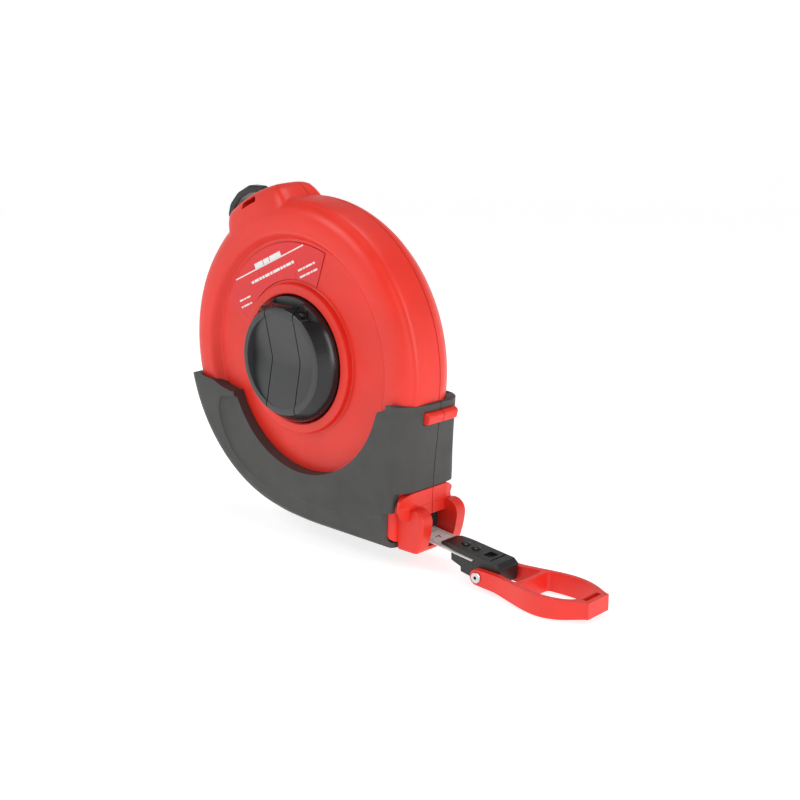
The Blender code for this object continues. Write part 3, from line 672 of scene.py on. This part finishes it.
def case_envelope(side, tag):
    """The turned part of the case with the working gap added, used to hollow the overmould."""
    profile = [(0.0, 13.55), (48.3, 13.55), (51.2, 16.95), (51.9, 17.36), (56.5, 17.34),
               (59.8, 16.62)]
    profile += [(62.1, 15.2), (63.6, 13.3), (64.9, 10.0), (65.3, 5.0), (65.4, -0.5), (0.0, -0.5)]
    if side < 0:
        profile = [(0.0, 11.3), (48.0, 11.3), (50.0, 12.4), (52.4, 12.7), (56.6, 12.1),
                   (59.8, 10.3)]
        profile += [(62.0, 8.2), (63.7, 5.6), (64.9, 3.1), (65.4, 0.6), (65.4, -0.5), (0.0, -0.5)]
    return helper(turned("envelope_" + tag, [(r, side * z) for r, z in profile], closed=False))


def core_envelope(side, tag):
    """The same for the block behind the front panel."""
    front = [(60.2, -44.5), (60.3, -36.0), (60.4, -27.0), (60.5, -18.0), (60.5, -11.2)]
    core = [(33.0, -49.0), (20.5, -58.0), (25.0, -66.6), (58.0, -66.8), (59.5, -44.6)]
    core = core + front + [(56.0, -12.4), (49.5, -32.0)]
    levels = ((-0.7, 0.0), (11.1, 0.0), (14.9, 1.1), (16.5, 2.6), (17.2, 4.6))
    if side < 0:
        levels = ((-0.7, 0.0), (7.5, 0.0), (9.6, 1.1), (10.8, 2.6), (11.4, 4.6))
    rings = []
    for depth, pull in levels:
        rings.append([(x, y, side * depth) for x, y in pulled_back(core, depth, pull, 60.1)])
    return helper(loft("core_envelope_" + tag, rings))


GROOVE_TOP = 19.24
GROOVE_DEPTH = 1.35
GROOVE_LIP = 3.6


def scoop():
    """The crescent finger groove, deepest at its upper end and running out along the belly."""
    crest = spline([(-43.2, -22.4), (-44.6, -26.0), (-44.4, -30.8), (-42.0, -37.0), (-37.0, -45.0)],
                   8)
    crest += spline([(-37.0, -45.0), (-27.6, -52.0), (-11.8, -57.5), (4.0, -58.6)], 8)[1:]
    last = len(crest) - 1
    heart = arc(EYE[0], EYE[1], EYE[2] - 3.0, -92.0, -153.0, last)[::-1]
    fade = [1.0 - (index / last) ** 1.6 for index in range(last + 1)]
    rings = []
    for t in (0.0, 0.25, 0.5, 0.75, 1.0):
        edge = []
        for point, centre in zip(crest, heart):
            inwards = (Vector(centre) - Vector(point)).normalized()
            edge.append(tuple(Vector(point) + inwards * (GROOVE_LIP * (1 - t) ** 1.6)))
        depths = [GROOVE_TOP - GROOVE_DEPTH * (1 - t) ** 0.6 * share for share in fade]
        ring = [(x, y, depth) for (x, y), depth in zip(edge, depths)]
        ring += [(x, y, depth) for (x, y), depth in zip(heart, depths)][::-1]
        rings.append(ring)
    rings.append([(x, y, 23.0) for x, y, _ in rings[-1]])
    return helper(loft("scoop", rings))


def belly_cut(side, tag):
    """The set-back band along the bottom, below a crisp ridge."""
    ridge = [(-16.0, -54.0), (0.6, -56.9), (12.6, -58.5), (30.0, -57.9), (46.7, -55.3),
             (66.0, -51.4)]
    face = NEAR_FACE if side > 0 else FAR_FACE
    rows = []
    for index, (x, y) in enumerate(spline(ridge, 6)):
        grow = min(1.0, index / 10.0)
        drop = 1.5 * grow
        rows.append([
            (x, y, side * (face + 0.1)),
            (x + 0.1, y - 0.7, side * (face - 0.45 * grow)),
            (x + 2.0, y - 14.0, side * (face - drop)),
            (x + 3.0, y - 24.0, side * (face - drop * 1.6)),
            (x + 3.0, y - 24.0, side * 24.0),
            (x, y, side * 24.0),
        ])
    return helper(loft("belly_" + tag, rows))


def make_guard(side, tag):
    guard = guard_half(side, tag)
    mouth = [(58.5, -44.2), (64.0, -44.2), (64.0, -70.0), (54.1, -70.0), (54.1, -53.2),
             (57.2, -52.4)]
    low, high = sorted((side * -0.5, side * 22.0))
    gap = helper(slab("lip_gap_" + tag, mouth, low, high))
    window = lug("lug_window_" + tag, side, 0.3)
    cut(guard, case_envelope(side, tag), core_envelope(side, tag), gap, window,
        belly_cut(side, tag))
    if side > 0:
        cut(guard, scoop())
    else:
        x, y = SCREWS[-1]
        cut(guard, helper(rod("guard_seat", 3.6, (x, y, -22.0), (x, y, -8.0), 40)))
    return done(guard, "case", GUARD, ["overmould_" + tag])


make_guard(1, "near")
make_guard(-1, "far")


# ---------------------------------------------------------------- label and trim

LABEL_TOP = DISH + 0.33


def crescent(outer, inner, start, end):
    """A band of the dish between two radii, with a little more sweep along its inner edge."""
    points = arc(0, 0, outer, start, end, 90)
    return points + arc(0, 0, inner, end + 0.2, start - 0.2, 70)


def label():
    """The film, and a painted shadow line round its edge."""
    film = rounded(crescent(47.3, 32.3, 69.8, 157.4), 0.4, 3)
    done(slab("label_film", film, DISH + 0.05, LABEL_TOP, 0.0, 0.08), "case", LABEL,
         ["label"])
    # A thin band just under the film's edge, painted shadow in dark red.
    rim = slab("label_shadow_line", crescent(47.5, 32.1, 69.6, 157.6), DISH + 0.01, DISH + 0.05)
    inside = slab("label_shadow_line_inside", crescent(47.32, 32.28, 69.78, 157.42), DISH - 1.0,
                  DISH + 1.0)
    cut(rim, helper(inside))
    done(rim, "case", SHADOW)


def bars(name, shapes, z0, z1, place, body, material):
    """Flat printed marks, each a short outline."""
    bm = bmesh.new()
    for shape in shapes:
        low = [bm.verts.new((x, y, z0)) for x, y in shape]
        high = [bm.verts.new((x, y, z1)) for x, y in shape]
        bm.faces.new(low[::-1])
        bm.faces.new(high)
        for i in range(len(shape)):
            j = (i + 1) % len(shape)
            bm.faces.new((low[i], low[j], high[j], high[i]))
    return done(new_object(name, to_mesh(bm, name), place), body, material)


def strip(start, end, width):
    """The outline of a straight bar between two points."""
    a, b = Vector(start), Vector(end)
    across = Vector((-(b - a).y, (b - a).x)).normalized() * width / 2
    return [tuple(a - across), tuple(b - across), tuple(b + across), tuple(a + across)]


def dashes(start, end, height, lengths):
    """A row of short blocks along a line, standing for a row of print."""
    a, b = Vector(start), Vector(end)
    gap = 0.45
    scale = ((b - a).length - gap * (len(lengths) - 1)) / sum(lengths)
    along = (b - a).normalized()
    shapes = []
    for length in lengths:
        shapes.append(strip(a, a + along * length * scale, height))
        a = a + along * (length * scale + gap)
    return shapes


def label_print():
    """A white line with rows of plain blocks over and under it."""
    marks = [strip((-37.4, 28.0), (4.0, 46.7), 0.5)]
    marks += dashes((-25.2, 34.9), (-9.4, 42.0), 2.2, (3, 2, 4))
    marks += dashes((-27.3, 27.9), (-1.5, 39.5), 1.1, (1, 2, 1, 1, 2, 1, 3, 1, 1, 2, 1))
    marks += dashes((0.9, 36.0), (10.6, 40.4), 0.75, (2, 1, 3, 1))
    marks += dashes((2.0, 33.4), (12.0, 37.9), 0.75, (3, 2, 1, 2))
    marks += dashes((-35.2, 19.2), (-28.6, 22.2), 0.7, (2, 1, 2))
    marks += dashes((-34.2, 16.6), (-27.6, 19.6), 0.7, (1, 3, 1))
    bars("label_print", marks, LABEL_TOP - 0.02, LABEL_TOP + 0.02, UPRIGHT, "case",
         PRINT)


def hang_loop():
    outer = [(65.6, 136.6), (72.0, 136.6), (76.4, 136.0), (78.8, 132.6), (79.5, 127.5),
             (78.2, 121.4)]
    outer += [(74.8, 117.0), (70.4, 115.9)]
    inner = [(70.4, 118.6), (73.3, 119.4), (75.4, 123.0), (76.4, 127.5), (75.8, 131.4),
             (73.6, 133.6), (65.6, 134.0)]
    outline = [polar(r, a) for r, a in outer] + [polar(r, a) for r, a in inner]
    loop = slab("hang_arch", rounded(outline, 1.2, 4), -2.4, 2.4, 0.75, 0.75)
    return done(loop, "case", BLACK, ["hang_loop"])


label()
label_print()
hang_loop()


# ---------------------------------------------------------------- winding drum and crank

DRUM = [(0.0, DRUM_FACE), (20.9, DRUM_FACE), (21.5, 23.9), (21.95, 23.55), (22.3, 23.1),
        (24.5, 20.2), (25.4, 18.7), (26.0, 17.2)]
DRUM += [(26.2, 15.8), (26.25, 14.6), (26.25, 10.3), (10.0, 10.3), (10.0, 7.3), (0.0, 7.3)]
HINGE = (20.2, 21.1)
GRIP_Y = -12.5
ARM_HALF = 8.0
FLANK_FROM = 22.1


def glossy_shaded_side(piece):
    """The glossier flank of the drum, all that looks away from its axis, given a darker copy of the
    knob's black as painted shade.
    """
    # Faces turned away from the axis get the darker copy: painted shade on the flank.
    piece.data.materials.append(KNOB_SIDE_SHADE)
    for face in piece.data.polygons:
        offset = face.center - AXIS
        if math.hypot(offset.x, offset.z) > FLANK_FROM * MM and face.normal.y > -0.86:
            face.material_index = 1


def trough():
    """The shallow V across the drum's face, inside its rim."""
    disc = helper(rod("trough_disc", 19.3, (0, 0, 18.0), (0, 0, 27.0), 140))
    valley = rounded([(-19.0, 23.9), (0.0, 20.0), (19.0, 23.9)], 2.2, 6, False)[1:-1]
    vee = [(-23.0, 28.0), (-23.0, 24.05), (-19.0, 23.9)] + valley
    vee += [(19.0, 23.9), (23.0, 24.05), (23.0, 28.0)]
    turn = Matrix.Rotation(math.radians(90), 4, "Z") @ Matrix.Rotation(math.radians(90), 4, "X")
    prism = helper(slab("trough_vee", vee, -24.0, 24.0, place=UPRIGHT @ turn))
    return boolean(disc, prism, "INTERSECT")


TROUGH = trough()


def drum():
    body = turned("drum_shell", DRUM, closed=False)
    cutters = [block("arm_slot", (-8.5, -28.0, 17.6), (8.5, 28.0, 26.0))]
    cutters += [rod("grip_pocket", 7.4, (0, GRIP_Y, 11.5), (0, GRIP_Y, 18.0))]
    cutters += [rod("drum_bore", 2.7, (0, 0, 6.0), (0, 0, 18.0))]
    cutters += [rod("drum_seat", 4.3, (0, 0, 13.7), (0, 0, 18.0))]
    cutters += [rod("drum_hinge", 1.4, (-20, *HINGE), (20, *HINGE), 24)]
    cutters += [block("notch_right", (12.0, 18.0, 19.0), (18.0, 22.6, 26.0), 0.9)]
    cutters += [block("notch_left", (-18.0, 18.0, 19.0), (-12.0, 22.6, 26.0), 0.9)]
    cut(body, TROUGH, *[helper(c) for c in cutters])
    glossy_shaded_side(done(body, "spool", KNOB, ["winding_drum"]))


def crank_arm():
    outline = [(-ARM_HALF, -27.0), (ARM_HALF, -27.0), (ARM_HALF, HINGE[0]), (-ARM_HALF, HINGE[0])]
    bar = slab("arm_bar", rounded(outline, 0.3, 3), 17.9, 24.5)
    limits = DRUM[:10] + [(26.25, 10.3), (0.0, 10.3)]
    limit = helper(turned("arm_limit", limits, closed=False))
    knuckle = helper(rod("arm_knuckle", 2.9, (-ARM_HALF, *HINGE), (ARM_HALF, *HINGE), 64))
    bore = helper(rod("arm_bore", 1.4, (-9.0, *HINGE), (9.0, *HINGE), 24))
    stud = helper(rod("arm_stud_bore", 1.8, (0, GRIP_Y, 17.0), (0, GRIP_Y, 19.6), 24))
    join(bar, knuckle)
    boolean(bar, limit, "INTERSECT")
    cut(bar, TROUGH, bore, stud)
    glossy_shaded_side(done(bar, "crank", KNOB, ["crank_arm"]))


def grip():
    profile = [(1.8, 17.5), (4.6, 17.5), (5.2, 16.9), (5.2, 12.5), (4.6, 11.9), (3.0, 11.9)]
    profile += [(3.0, 13.5), (1.8, 13.5)]
    place = UPRIGHT @ Matrix.Translation(Vector((0, GRIP_Y, 0)) * MM)
    knob = turned("grip_knob", rounded(profile, 0.4, 3), place, 64)
    done(knob, "grip", BLACK, ["finger_grip"])


drum()
crank_arm()
grip()


# ---------------------------------------------------------------- tape and its end fitting

TAPE_PLAN = TAPE_LINE @ FLATWISE


def tape():
    outline = [(-82.0, -6.5), (17.4, -6.5), (17.4, 6.5), (-82.0, 6.5)]
    blade = slab("tape_strip", outline, -0.15, 0.15, place=TAPE_PLAN)
    done(blade, "tape", TAPE, ["tape_blade"])


def tape_print():
    """Ticks along both edges, longer every fifth and tenth, with a small mark between tens."""
    shapes = []
    for index in range(-78, 2):
        s = float(index)
        reach = 6.3 if index % 10 == 0 else (3.4 if index % 5 == 0 else 2.0)
        shapes.append(strip((s, -6.4), (s, -6.4 + reach), 0.16))
        shapes.append(strip((s, 6.4), (s, 6.4 - reach * 0.8), 0.16))
        if index % 10 == 5:
            shapes.append(strip((s - 1.0, 0.5), (s + 1.0, 0.5), 0.6))
            shapes.append(strip((s - 0.7, -1.0), (s - 0.7, 1.6), 0.5))
    bars("tape_print", shapes, 0.14, 0.165, TAPE_PLAN, "tape", INK)


def rivet_bores(piece):
    for s in RIVETS:
        cut(piece, helper(rod("rivet_bore", 1.3, (s, -4.3, 0), (s, 4.0, 0), 24, TAPE_LINE)))


def end_block():
    outline = [(0.0, 0.5), (0.0, 1.3), (3.0, 2.3), (28.6, 2.3), (30.8, 0.8), (30.8, -5.6),
               (28.0, -8.0)]
    outline += [(17.9, -8.0), (17.9, 0.5)]
    body = bevel(slab("end_block_shell", outline, -5.6, 5.6, place=TAPE_LINE), 0.3)
    for side in (1, -1):
        place = TAPE_LINE @ Matrix.Rotation(math.radians(-9.0 * side), 4, "Y")
        low, high = sorted((side * 4.1, side * 9.0))
        cut(body, helper(block("taper", (-1.0, -2.0, low), (9.0, 4.0, high), place=place)))
    s, t, _ = PIN_FROM_FITTING
    cut(body, helper(rod("pin_bore", 1.8, (s, t, -12), (s, t, 12), 32, TAPE_LINE)))
    cut(body, helper(block("window", (19.6, 1.1, -2.4), (23.4, 4.0, 2.4), 0.3, TAPE_LINE)))
    cut(body, helper(block("groove", (24.6, 1.8, -4.4), (25.3, 4.0, 4.4), place=TAPE_LINE)))
    rivet_bores(body)
    return done(body, "tape", BLACK, ["end_block"])


def end_claw():
    outline = [(5.6, -0.5), (6.1, -4.2), (11.0, -5.3), (11.2, -7.2), (17.5, -7.6), (17.5, -0.5)]
    claw = bevel(slab("end_claw_shell", outline, -4.8, 4.8, place=TAPE_LINE), 0.3)
    rivet_bores(claw)
    return done(claw, "tape", BLACK, ["end_claw"])


tape()
tape_print()
end_block()
end_claw()


# ---------------------------------------------------------------- finger ring

RING_PLAN = RING_LINE @ FLATWISE


def plan(half_widths):
    """A smooth outline from half widths along the ring, mirrored across it."""
    upper = spline(half_widths, 5)
    return upper + [(x, -z) for x, z in reversed(upper)]


def end_ring():
    widths = [(-4.0, 8.4), (2.0, 8.4), (9.0, 8.5), (16.0, 9.8), (22.0, 11.2), (27.0, 12.1),
              (32.0, 12.4)]
    widths += [(37.0, 11.8), (42.0, 10.2), (47.0, 7.6), (48.6, 6.7), (50.2, 6.3)]
    ring = slab("finger_ring", plan(widths), -6.0, 6.0, place=RING_PLAN)
    under = [(8.0, -3.6), (16.0, -4.3), (24.0, -4.8), (32.0, -5.0), (40.0, -4.5), (46.0, -3.7),
             (50.3, -3.1)]
    side = arc(0, 0, 3.1, 90, 270, 24) + spline(under, 5) + [(50.3, 3.1)]
    profile = helper(slab("ring_side", side, -14.0, 14.0, place=RING_LINE))
    fork = plan([(-8.0, 5.9), (8.0, 5.9), (13.0, 7.0), (17.0, 7.9), (18.6, 7.2), (19.0, 2.2)])
    hole = [(21.0, 2.0), (21.0, 8.2), (23.4, 9.6), (28.0, 10.4), (32.0, 10.6)]
    hole = plan(hole + [(37.0, 9.9), (41.5, 8.2), (44.2, 5.6), (44.6, 1.6)])
    gap = helper(slab("ring_fork", fork, -9.0, 9.0, place=RING_PLAN))
    eye = helper(slab("ring_eye", hole, -9.0, 9.0, place=RING_PLAN))
    groove = helper(block("ring_groove", (46.0, 1.0, -4.6), (48.2, 5.0, 4.6), place=RING_LINE))
    bore = helper(rod("ring_bore", 1.8, (0, 0, -12), (0, 0, 12), 32, RING_LINE))
    boolean(ring, profile, "INTERSECT")
    cut(ring, gap, eye, groove, bore)
    return done(ring, "ring", RING_RED, ["end_ring"])


end_ring()


# ---------------------------------------------------------------- nodes kept from the frame

# The wipers take the near-black felt, which also serves as painted shade inside the mouth.
KEPT = {"spool_core": CORE, "tape_coil": TAPE, "wiper_upper": FELT_MOUTH_SHADE, "wiper_lower": FELT_MOUTH_SHADE}
KEPT.update({"crank_pin": DARK_STEEL, "end_rivet_1": DARK_STEEL, "end_rivet_2": DARK_STEEL})
KEPT.update({"hub_screw": STEEL, "grip_stud": STEEL, "ring_pin": STEEL})
KEPT.update({"case_screw_%d" % number: STEEL for number in range(1, 6)})
for node, material in KEPT.items():
    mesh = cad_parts[node].data
    mesh.materials.clear()
    mesh.materials.append(material)

for item in HELPERS:
    bpy.data.objects.remove(item, do_unlink=True)


# ---------------------------------------------------------------- stage, light and camera

def backdrop_white():
    """White paint whose own glow fades out up the wall."""
    material = new_material("backdrop_white", (0.6, 0.6, 0.6), 0.9)
    nodes = material.node_tree.nodes
    links = material.node_tree.links
    coords = nodes.new("ShaderNodeTexCoord")
    split = nodes.new("ShaderNodeSeparateXYZ")
    links.new(coords.outputs["Object"], split.inputs["Vector"])
    glow = ramp(nodes, links, split.outputs["Z"],
                ((0.35, (1.0, 1.0, 1.0)), (0.8, (0.05, 0.05, 0.05))))
    shader = nodes["Principled BSDF"]
    shader.inputs["Specular IOR Level"].default_value = 0.1
    links.new(glow.outputs["Color"], shader.inputs["Emission Color"])
    shader.inputs["Emission Strength"].default_value = 0.72
    return material


FLOOR_REACH = 1500.0
SWEEP = 700.0
WALL_TOP = 2400.0


def backdrop():
    """A pale floor that sweeps up into a wall all round."""
    wall = FLOOR_REACH + SWEEP
    profile = [(0.0, 0.0), (FLOOR_REACH, 0.0)]
    for step in range(1, 13):
        angle = math.pi / 2 * step / 12
        profile.append((FLOOR_REACH + SWEEP * math.sin(angle), SWEEP * (1 - math.cos(angle))))
    profile += [(wall, WALL_TOP), (wall + 30.0, WALL_TOP), (wall + 30.0, -30.0), (0.0, -30.0)]
    place = Matrix.Translation((0.0, 0.0, CAD_BOX[0].z - 0.0004))
    sweep = turned("backdrop", profile[::-1], place, 96, False)
    sweep.data.shade_smooth()
    sweep.data.set_sharp_from_angle(angle=math.radians(40.0))
    sweep.data.materials.append(backdrop_white())


def area_light(name, where, target, size, power):
    data = bpy.data.lights.new(name, "AREA")
    data.shape = "RECTANGLE"
    data.size, data.size_y = size
    data.energy = power
    light = bpy.data.objects.new(name, data)
    bpy.context.scene.collection.objects.link(light)
    light.location = where
    light.rotation_mode = "QUATERNION"
    light.rotation_quaternion = (Vector(target) - Vector(where)).to_track_quat("-Z", "Y")


def studio():
    world = bpy.data.worlds.new("studio")
    bpy.context.scene.world = world
    world.use_nodes = True
    background = world.node_tree.nodes["Background"]
    background.inputs["Color"].default_value = (1, 1, 1, 1)
    background.inputs["Strength"].default_value = 0.12
    middle = (CAD_BOX[0] + CAD_BOX[1]) / 2
    area_light("key", middle + Vector((-0.35, -0.75, 0.75)), middle, (0.45, 0.45), 3.4)
    area_light("right", middle + Vector((0.85, -0.05, 0.35)), middle, (0.3, 0.9), 3.6)
    area_light("top", middle + Vector((0.0, 0.2, 0.95)), middle, (0.5, 0.5), 2.2)


def camera():
    """Seen from the crank side, a little in front and above."""
    azimuth, elevation, roll = [math.radians(angle) for angle in (42.74, 14.35, 0.09)]
    level = math.cos(elevation)
    back = Vector((math.sin(azimuth) * level, -math.cos(azimuth) * level, math.sin(elevation)))
    right = Vector((math.cos(azimuth), math.sin(azimuth), 0.0))
    up = back.cross(right)
    data = bpy.data.cameras.new("camera")
    data.lens = 60.65
    data.sensor_width = 36.0
    data.clip_start = 0.01
    data.clip_end = 20.0
    eye = bpy.data.objects.new("camera", data)
    bpy.context.scene.collection.objects.link(eye)
    spot = AXIS + (right * 32.4 - up * 19.47 + back * 559.6) * MM
    turn = Matrix((right, up, back)).transposed().to_4x4() @ Matrix.Rotation(roll, 4, "Z")
    eye.matrix_world = Matrix.Translation(spot) @ turn
    bpy.context.scene.camera = eye


backdrop()
studio()
camera()
bpy.context.scene.view_settings.view_transform = "Standard"
